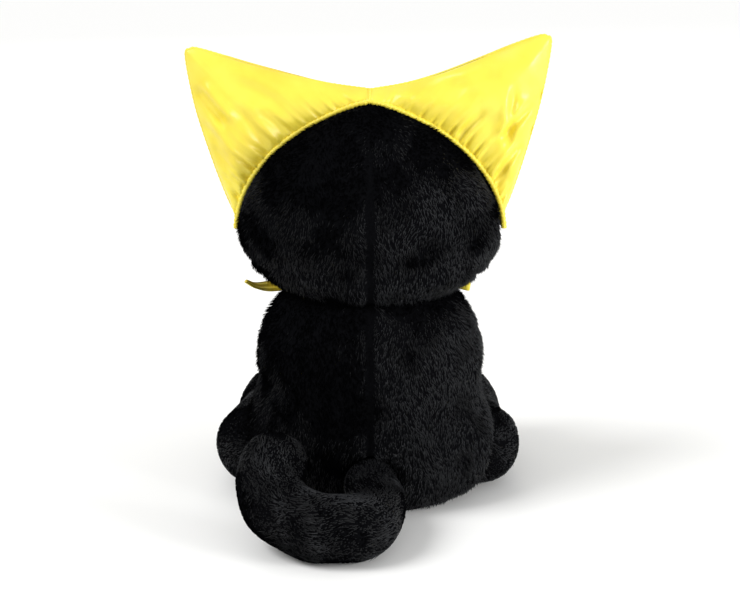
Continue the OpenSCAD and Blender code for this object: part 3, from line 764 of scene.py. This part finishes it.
def hood_arc(off):
    """The back opening, along the head's outline: x and z from the crown down to the cheek."""
    z = mix(CROWN_Z + 0.4, 164.5, np.linspace(0, 1, 400) ** 1.6)
    z_in = np.minimum(z, CROWN_Z - 0.02)
    x = (head_w(z_in) + off) * np.sqrt(np.maximum(0, 1 - (BACK_Y / (head_d(z_in) + off + 1)) ** 2))
    x[0] = 0
    z = z + off * smooth(30, 0, x)
    return resample(np.stack([x, z], 1), STEPS)


def clear_head(p, off):
    """Moves points of cloth that would lie inside the head out to its surface."""
    z = np.clip(p[..., 2], RIM_Z, CROWN_Z - 0.02)
    q = np.hypot(p[..., 0] / (head_w(z) + off), p[..., 1] / (head_d(z) + off))
    inside = (q < 1) & (p[..., 2] < CROWN_Z)
    scale = np.where(inside, 1 / np.maximum(q, 0.2), 1)
    return np.stack([p[..., 0] * scale, p[..., 1] * scale, p[..., 2]], -1)


def crease(p, a, b, width, depth):
    """A soft fold along a line from a to b in x and z: a valley with a ridge beside it."""
    a, b = np.asarray(a, float), np.asarray(b, float)
    ab = b - a
    q = p[..., [0, 2]] - a
    t = (q @ ab) / (ab @ ab)
    d = (q[..., 0] * ab[1] - q[..., 1] * ab[0]) / np.linalg.norm(ab)
    ends = smooth(-0.15, 0.2, t) * smooth(1.15, 0.8, t)
    return depth * ends * (-bump(d, width) + 0.8 * bump(d - 1.9 * width, 1.1 * width))


def puckers(run, wobble, long, short):
    """Gathers along a sewn edge, of two lengths, shifted by wobble."""
    return (np.sin(run * 2 * math.pi / long + 1.6 * wobble)
            + 0.5 * np.sin(run * 2 * math.pi / short + 2 * wobble))


# folds of each ear: ends in x and z, width and depth
LEFT_FOLDS = [((101, 246), (84, 226), 3.0, 3.2), ((97, 226), (82, 204), 2.6, 2.2),
              ((92, 212), (78, 192), 2.4, 1.8), ((88, 254), (50, 238), 5.0, 1.8),
              ((76, 236), (60, 212), 3.6, 1.8), ((66, 234), (48, 222), 3.0, 1.4),
              ((86, 196), (76, 182), 2.2, 1.5)]
RIGHT_FOLDS = [((94, 236), (76, 218), 2.6, 2.8), ((84, 248), (81, 214), 2.4, 2.2),
               ((88, 214), (72, 194), 2.4, 2.4), ((80, 200), (70, 184), 2.2, 1.8),
               ((72, 256), (40, 243), 5.0, 1.8), ((66, 234), (52, 220), 3.0, 1.6)]


def hood_back(side):
    """Points of a back panel, from the opening to the sewn edge, as if on the left."""
    arc, edge = hood_arc(HEAD_GAP), hood_outline(side)
    v = np.linspace(0, 1, ACROSS)[None, :, None]
    flat = arc[:, None, :] * (1 - v) + edge[:, None, :] * v
    v = v[..., 0]
    s = np.linspace(0, 1, STEPS)[:, None]
    span = np.linalg.norm(edge - arc, axis=1)[:, None] * v
    plump = 6.6 * np.sin(math.pi * v) ** 0.8 * (0.3 + 0.7 * np.sin(math.pi * s))
    y = mix(BACK_Y, SEAM_Y + CLOTH, v**1.2) + plump
    p = np.stack([flat[..., 0], y + 0 * s, flat[..., 1]], -1)
    strong = 0.40 + 0.75 * bump(s - (0.70 if side > 0 else 0.52), 0.20)
    pucker = puckers(run_along(arc)[:, None], lumps(p, 34, 70 + side, 1), 6.4, 3.9)
    p[..., 1] += 1.5 * strong * pucker * np.exp(-span / 9) * smooth(0, 2.5, span)
    p[..., 1] += 1.1 * lumps(p, 30, 80 + side, 2) * np.sin(math.pi * v)
    for a, b, width, depth in LEFT_FOLDS if side > 0 else RIGHT_FOLDS:
        p[..., 1] += crease(p, a, b, width, depth) * smooth(0, 4, span)
    p[..., 1] -= 1.0 * np.exp(-p[..., 0] / 1.6)
    return p


FACE_TOP = CHEEK_Z + 45
JAW_Z = 150


def face_edge(n):
    """The face opening's edge on one side, on the head: from the forehead's middle to the jaw."""
    a = np.radians(np.linspace(0, 128, n))
    z = mix(FACE_TOP, JAW_Z, (1 - np.cos(a)) / 1.62)
    x = 58 * np.sin(a)
    w, d = head_w(z) + HEAD_GAP, head_d(z) + HEAD_GAP
    c = np.minimum(0.97, x / w)
    return np.stack([w * c, -d * np.sqrt(1 - c * c), z], 1)


def hood_front(side):
    """Points of a front panel, from the face opening to the sewn edge, as if on the left."""
    inner = face_edge(STEPS)
    edge = hood_outline(side)
    outer = np.stack([edge[:, 0], np.full(STEPS, SEAM_Y - CLOTH), edge[:, 1]], 1)
    v = np.linspace(0, 1, ACROSS)[None, :, None]
    s = np.linspace(0, 1, STEPS)[:, None]
    p = inner[:, None] * (1 - v) + outer[:, None] * v
    v = v[..., 0]
    span = np.linalg.norm(outer - inner, axis=1)[:, None] * v
    p[..., 1] -= 9.5 * np.sin(math.pi * v) * (0.35 + 0.65 * np.sin(math.pi * s))
    p = clear_head(p, HEAD_GAP)
    for _ in range(6):
        mid = (p[:, :-2] + p[:, 2:]) / 2
        p[:, 1:-1] = mix(p[:, 1:-1], mid, 0.6)
        mid = (p[:-2] + p[2:]) / 2
        p[1:-1, 1:-1] = mix(p[1:-1, 1:-1], mid[:, 1:-1], 0.6)
    p = clear_head(p, HEAD_GAP)
    p[..., 2] += 2.6 * bump(v - 0.88, 0.11) * smooth(0.02, 0.15, s) * smooth(0.48, 0.38, s)
    pucker = puckers(run_along(inner)[:, None], lumps(p, 34, 90 + side, 1), 6.0, 3.7)
    p[..., 1] -= (0.9 + 0.7 * pucker) * np.exp(-span / 10) * smooth(0, 2.5, span)
    p[..., 1] -= 1.0 * (0.6 + 0.6 * lumps(p, 44, 95 + side, 2)) * np.sin(math.pi * v)
    for a, b, width, depth in RIGHT_FOLDS if side > 0 else LEFT_FOLDS:
        p[..., 1] -= crease(p, a, b, width, depth) * smooth(0, 4, span)
    return p


def satin_piece(obj, *nodes):
    """Gives a piece of satin its body and the nodes that it stands for."""
    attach(obj, "hood")
    if nodes:
        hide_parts(*nodes)
    return obj


def panel(name, grid, inward, side, node):
    """A hood panel between its shown face and its lining."""
    lining = grid + np.array([0, inward * CLOTH, 0])
    made = two_layers(name, grid, lining, side, (side > 0) == (inward > 0), SATIN)
    return satin_piece(made, node)


def ear_wadding(name, back, front, side):
    """The light filling of one ear, a little inside its two panels."""
    along = slice(int(0.10 * STEPS), int(0.86 * STEPS), 3)
    over = slice(int(0.62 * ACROSS), int(0.92 * ACROSS), 2)
    room = np.array([0, CLOTH + 1.0, 0])
    outer = back[along, over] - room
    inner = front[along, over] + room
    inner[..., 1] = np.minimum(inner[..., 1], outer[..., 1] - 0.5)
    made = two_layers(f"hood_wadding_{name}_fill", outer, inner, side, side > 0, WADDING)
    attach(made, "hood")
    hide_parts(f"hood_wadding_{name}")


def make_hood():
    """Panels, wadding, seams and rolled edges; gives back the panels."""
    pieces = []
    for side, name in SIDES:
        back, front = hood_back(side), hood_front(side)
        ear_wadding(name, back, front, side)
        made_back = panel(f"hood_back_{name}_satin", back, -1, side, f"hood_back_{name}")
        made_front = panel(f"hood_front_{name}_satin", front, 1, side, f"hood_front_{name}")
        pieces += [made_back, made_front]
        edge = hood_outline(side)
        seam = np.stack([edge[:, 0] * side, np.full(STEPS, SEAM_Y), edge[:, 1]], 1)
        ripple = 0.75 + 0.16 * np.sin(np.arange(STEPS) * 2.4)
        satin_piece(ring_grid(f"hood_seam_{name}", tube_grid(seam, ripple, 10, (0, 1, 0)), SATIN))
    t = np.linspace(0, 1, 24)
    notch = np.stack([0 * t, mix(BACK_Y + 0.9, SEAM_Y, t) + 0.8 * np.sin(math.pi * t),
                      mix(CROWN_Z + HEAD_GAP + 0.6, NOTCH_Z + 0.2, t)], 1)
    notch_tube = tube_grid(notch, 1.0 + 0.12 * np.sin(t * 30), 12, (1, 0, 0))
    satin_piece(ring_grid("hood_seam_middle", notch_tube, SATIN))
    for name, line, node in (("hood_binding_back_roll", back_binding_line(), "hood_binding_back"),
                             ("hood_binding_face_roll", face_binding_line(), "hood_binding_face")):
        k = np.arange(len(line))
        gather = 1.55 + 0.20 * np.sin(k * 1.35) + 0.10 * np.sin(k * 0.47)
        satin_piece(ring_grid(name, tube_grid(line, gather, 16, (0, 1, 0)), SATIN), node)
    return pieces


def both_sides(half):
    """A whole edge from the half on the cat's left."""
    other = half[::-1] * FLIP
    return resample(np.vstack([other[:-1], half]), 420)


def back_binding_line():
    arc = hood_arc(HEAD_GAP + 0.3)
    half = np.stack([arc[:, 0], np.full(STEPS, BACK_Y + 0.6), arc[:, 1]], 1)
    return both_sides(half)


def face_binding_line():
    half = face_edge(STEPS)
    middle = np.array([0, 0, CHEEK_Z + 6])
    inward = unit((middle - half) * np.array([1, 0, 1])) * 1.2
    half = half + inward
    out = unit(half * np.array([1 / CHEEK_W**2, 1 / HEAD_D**2, 0]))
    return both_sides(half + out * 0.7)


# -------- ties and bow
RIBBON_T = 0.6  # thickness, and how far it is cupped
UP = np.array([0.0, 0.0, 1.0])


def ribbon(name, line, widths, node, n, twist=0.0):
    """A flat satin ribbon along a line, a little cupped, and pinched where its width is small."""
    line = curve(line, n)
    way = unit(np.gradient(line, axis=0))
    widths = np.interp(np.linspace(0, 1, n), np.linspace(0, 1, len(widths)), widths)
    across = unit(UP - (way @ UP)[:, None] * way)
    face = np.cross(way, across)
    turn = np.linspace(0, twist, n)[:, None]
    across, face = (across * np.cos(turn) + face * np.sin(turn),
                    face * np.cos(turn) - across * np.sin(turn))
    e = np.linspace(-1, 1, 13)
    tight = 1 - widths / widths.max()
    wave = RIBBON_T * (1 - e**2)[None, :] + (1.3 * tight)[:, None] * np.cos(e * 7.5)[None, :]
    wave = wave + 0.25 * np.sin(np.linspace(0, 17, n))[:, None] * e[None, :]
    middle = line[:, None] + across[:, None] * (widths[:, None] / 2 * e[None, :])[..., None]
    outer = middle + face[:, None] * (wave + RIBBON_T / 2)[..., None]
    inner = middle + face[:, None] * (wave - RIBBON_T / 2)[..., None]
    made = satin_piece(sheet_mesh(name, outer, inner, SATIN), node)


def make_ties():
    """The hood's two straps, round under the chin to the knot."""
    for side, name in SIDES:
        s = np.linspace(0, 1, 60)[:, None]
        e = np.linspace(-1, 1, 9)[None, :]
        a = np.radians(mix(-41, -89, s)) + 0 * e
        z = mix(150.5, 134.6, s) + e * mix(4.6, 2.6, s)
        fold = 0.5 * np.sin(s * 19) * (1 - s) + 0.6 * (1 - e**2) + 6.5 * smooth(0.62, 1.0, s)
        outer = head_surface(a, z, HEAD_GAP + 0.9)
        inner = head_surface(a, z, HEAD_GAP + 0.3)
        outer[..., 1] -= fold
        inner[..., 1] -= fold
        made = two_layers(f"hood_tie_{name}_satin", outer, inner, side, side > 0, SATIN)
        satin_piece(made, f"hood_tie_{name}")


def make_bow():
    n = 40
    t = np.linspace(0, 1, n)
    knot_line = np.stack([mix(-6.5, 6.5, t), np.full(n, -66.5), np.full(n, 131.0)], 1)
    thick = 4.8 * np.sin(math.pi * (0.12 + 0.76 * t)) ** 0.5
    grid = tube_grid(knot_line, thick * 0.85, n, flat=thick * 1.25)
    angle = circle(n)
    pleat = 0.35 * np.sin(7 * angle)[None, :] * np.ones(n)[:, None]
    grid = grid + unit(grid - knot_line[:, None]) * pleat[..., None]
    knot = satin_piece(ring_grid("bow_knot_satin", grid, SATIN), "bow_knot")
    loop_widths = [4.5, 9, 10, 10, 10, 10, 10, 9, 4.5]
    ribbon("bow_loop_left_satin",
           [(3, -63, 131), (18, -58, 130), (38, -53, 125), (52, -49, 120), (56, -51, 119),
            (52, -57, 119), (36, -64, 124), (18, -68, 129), (4, -67, 131)],
           loop_widths, "bow_loop_left", 130)
    ribbon("bow_loop_right_satin",
           [(-3, -63, 131), (-18, -59, 129), (-40, -54, 123), (-57, -47, 118), (-62, -47, 117),
            (-58, -54, 117), (-38, -65, 122), (-18, -69, 128), (-4, -67, 131)],
           loop_widths, "bow_loop_right", 130)
    ribbon("bow_tail_left_satin",
           [(4, -70, 129), (22, -72, 122), (42, -67, 115), (60, -54, 113.5), (70, -42, 116.5),
            (76, -33, 122)],
           [6, 10, 10, 9, 6, 1.5], "bow_tail_left", 90, twist=0.5)
    ribbon("bow_tail_right_satin",
           [(-4, -70, 129), (-14, -73, 123), (-25, -72.5, 116.5), (-36, -69, 111)],
           [5.5, 9.5, 10, 10], "bow_tail_right", 70)


# -------- face
EYE_LOW, EYE_HIGH = node_box("eye_left")
EYE = np.array([(EYE_LOW[0] + EYE_HIGH[0]) / 2, EYE_HIGH[1] - 14.0,
                (EYE_LOW[2] + EYE_HIGH[2]) / 2])
IRIS_SPAN = 0.008  # radius in metres that the iris's colours are spread over
NOSE_LOW, NOSE_HIGH = node_box("nose")
NOSE = np.array([0, NOSE_LOW[1] + 2.0, (NOSE_LOW[2] + NOSE_HIGH[2]) / 2])


def eye_material(name, centre):
    """A moulded safety eye: black pupil, green iris with fine radial streaks, black rim."""
    m, tree, shader = new_material(name, (0.05, 0.3, 0.12), 0.08, Coat_Weight=1.0,
                                   Coat_Roughness=0.03)
    coords = tree.nodes.new("ShaderNodeTexCoord")
    mapping = tree.nodes.new("ShaderNodeMapping")
    socket(mapping, "Location", (-centre[0] * MM, 0, -centre[2] * MM))
    socket(mapping, "Scale", (1, 0, 1))
    tree.links.new(coords.outputs["Object"], mapping.inputs["Vector"])
    length = tree.nodes.new("ShaderNodeVectorMath")
    length.operation = "LENGTH"
    tree.links.new(mapping.outputs["Vector"], length.inputs[0])
    streak = noise_node(tree, 900, 4, 0.7)
    mixer = tree.nodes.new("ShaderNodeMath")
    mixer.operation = "MULTIPLY_ADD"
    socket(mixer, 1, 0.0008)
    tree.links.new(streak.outputs["Fac"], mixer.inputs[0])
    tree.links.new(length.outputs["Value"], mixer.inputs[2])
    scaled = tree.nodes.new("ShaderNodeMath")
    scaled.operation = "MULTIPLY"
    socket(scaled, 1, 1 / IRIS_SPAN)
    tree.links.new(mixer.outputs["Value"], scaled.inputs[0])
    black = (0.004, 0.004, 0.004)
    ramp_to(tree, scaled.outputs["Value"], shader.inputs["Base Color"],
            [(0.40, black), (0.46, (0.30, 0.42, 0.05)), (0.70, (0.08, 0.34, 0.10)),
             (0.84, (0.02, 0.12, 0.05)), (0.88, black)])
    return m


def lathe(name, centre, profile, material, squash=1.0):
    """A turned piece on an axis along -Y: profile is radius and how far it stands out.

    squash scales its height."""
    sides = 64
    a = circle(sides)
    grid = np.stack([profile[:, :1] * np.cos(a), np.repeat(-profile[:, 1:], sides, 1),
                     profile[:, :1] * np.sin(a) * squash], -1)
    return ring_grid(name, grid + centre, material)


def make_face():
    for side, name in SIDES:
        centre = EYE * np.array([side, 1, 1])
        t = np.linspace(0.02, 1, 18)
        dome = np.stack([7.6 * np.sin(t * math.pi / 2), 0.9 + 4.1 * np.cos(t * math.pi / 2)], 1)
        rim = np.array([(7.9, 0.7), (8.0, 0.2), (7.8, -0.4), (3.0, -0.6), (0.4, -0.6)])
        made = lathe(f"eye_{name}_dome", centre, np.vstack([dome, rim]),
                     eye_material(f"eye_{name}_paint", centre))
        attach(made, "head")
        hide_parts(f"eye_{name}")
    t = np.linspace(0.03, 1, 16)
    t = t * math.pi / 2
    nose = np.vstack([np.stack([6.0 * np.sin(t) ** 0.8, 3.4 * np.cos(t)], 1),
                      [(6.1, -0.6), (5.4, -1.4), (0.4, -1.5)]])
    leather = moulded("nose_plastic", (0.055, 0.022, 0.026), 0.32)
    made = lathe("nose_pad", NOSE, nose, leather, squash=0.72)
    for v in made.data.vertices:  # wider at the top
        up = (v.co.z / MM - NOSE[2]) / 4.4
        v.co.x *= 1 + 0.22 * up
    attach(made, "head")
    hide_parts("nose")


def face_point(x, z, off):
    """Points of the face at x and z, off outside it."""
    w = head_w(z) + off
    a = -np.arccos(np.clip(x / w, -1, 1))
    return head_surface(a, z, off)


# lines of the mouth in x and z: down from the nose, and out to one side
PHILTRUM = np.array([(0.0, 158.5), (0.0, 155.5), (0.0, 153.0)])
SMILE = np.array([(0.0, 153.0), (4.5, 149.8), (9.5, 149.5), (13.0, 152.0)])


def make_mouth():
    """Satin-stitched mouth: many short overlapping stitches along each line."""
    pale = thread("mouth_thread", (0.22, 0.22, 0.23), (0.42, 0.42, 0.43))
    thick = [0.12, 0.24, 0.27, 0.24, 0.12]
    rings, sides = len(thick), 6
    verts, faces = [], []
    for line in (PHILTRUM, SMILE, SMILE * np.array([-1, 1])):
        path = curve(line, 40)
        p = face_point(path[:, 0], path[:, 1], 1.0)
        way = unit(np.gradient(p, axis=0))
        for k in range(1, 39):
            across = unit(np.cross(way[k], [0, -1, 0])) + 0.35 * way[k]
            stitch = p[k] + across * np.linspace(-0.95, 0.95, rings)[:, None]
            stitch[:, 1] -= 0.5 * np.cos(np.linspace(-1.3, 1.3, rings))
            grid = tube_grid(stitch, thick, sides, (0, 1, 0.01))
            faces += tube_faces(rings, sides, len(verts))
            verts += grid.reshape(-1, 3).tolist() + [stitch[0].tolist(), stitch[-1].tolist()]
    made = make_mesh("mouth_stitches", verts, faces, pale)
    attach(made, "head")
    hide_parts("mouth_stitching")


def face_bare(p):
    """Where the pile parts on the face: under the eyes, the nose and the stitched mouth."""
    x, z = np.abs(p[:, 0]), p[:, 2]
    front = p[:, 1] < -20
    eye = np.hypot(x - EYE[0], z - EYE[2]) < 7.4
    nose = np.hypot(x, (z - NOSE[2]) / 0.8) < 5.4
    mouth = (np.abs(z - 151.2) < 2.6) & (x < 13.5) | (x < 1.3) & (z > 150) & (z < 160)
    return front & (eye | nose | mouth)


def comb_head(p):
    """Down the back and sides of the head, and out from the nose over the face."""
    away = unit(p - (MUZZLE + np.array([0, 8, 4]))) * np.array([1, 0.6, 1])
    face = smooth(-15, -35, p[:, 1])[:, None]
    return DOWN * (1 - face) + away * face


def make_inside():
    """Materials of the CAD pieces kept inside: stuffing, bean pouch, washers and neck gusset."""
    for name, obj in frame["nodes"].items():
        if "stuffing" in name or "wadding" in name:
            inside = WADDING
        elif name == "bean_pouch":
            inside = BEAN_CLOTH
        elif "washer" in name:
            inside = WASHER
        elif name == "neck_gusset":
            inside = BACKING
        else:
            continue
        obj.data.materials.clear()
        obj.data.materials.append(inside)


hood_cover = tree_of(make_hood())
make_ties()
make_bow()
make_head(hood_cover)
make_body()
for limb_side, limb_name in SIDES:
    make_leg(limb_side, limb_name)
    make_arm(limb_side, limb_name)
make_tail()
make_face()
make_mouth()
make_inside()

# -------- stage, light and camera
FLOOR_SIZE = 8000.0  # half the side of the floor
FLOOR_Z = -0.3
WORLD_LIGHT = 0.62
AIM = np.array([0, 0, 0.122])  # metres; the camera looks here, from this far and this high
DISTANCE, CAMERA_UP = 1.2, math.radians(15)


def make_stage():
    paper = new_material("studio_paper", (0.93, 0.93, 0.92), 0.8)[0]
    turns = ((-1, -1), (1, -1), (1, 1), (-1, 1))
    corners = [(x * FLOOR_SIZE, y * FLOOR_SIZE, FLOOR_Z) for x, y in turns]
    make_mesh("floor", corners, np.array([[0, 1, 2, 3]]), paper, False)
    bpy.context.scene.view_settings.view_transform = "Standard"
    world = bpy.data.worlds.new("studio")
    bpy.context.scene.world = world
    world.use_nodes = True
    background = world.node_tree.nodes["Background"]
    socket(background, "Color", (1.0, 1.0, 1.0, 1))
    socket(background, "Strength", WORLD_LIGHT)


def look(direction):
    """Rotation that turns a lamp or camera to look along a direction."""
    x, y, z = unit(direction)
    return (math.acos(-z), 0, math.atan2(-x, y))


def area_light(name, place, aim, size, watts):
    data = bpy.data.lights.new(name, "AREA")
    data.energy = watts
    data.size = size
    obj = add_object(name, data)
    obj.location = place
    obj.rotation_euler = look(np.array(aim) - np.array(place))


def sun_light(name, place, strength, soft):
    data = bpy.data.lights.new(name, "SUN")
    data.energy = strength
    data.angle = math.radians(soft)
    add_object(name, data).rotation_euler = look(-np.array(place))


def make_camera():
    data = bpy.data.cameras.new("camera")
    data.lens = 97.3
    data.sensor_width = 36
    data.clip_start = 0.05
    obj = add_object("camera", data)
    obj.location = AIM + DISTANCE * np.array([0, math.cos(CAMERA_UP), math.sin(CAMERA_UP)])
    obj.rotation_euler = look(AIM - np.array(obj.location))
    bpy.context.scene.camera = obj


make_stage()
sun_light("key", (0.85, 0.38, 0.95), 1.98, 30)
area_light("rim_right", (-1.3, 0.8, 0.45), (0, 0, 0.12), 0.6, 17)
area_light("front", (0.3, -1.5, 1.0), (0, 0, 0.12), 1.2, 5)
make_camera()
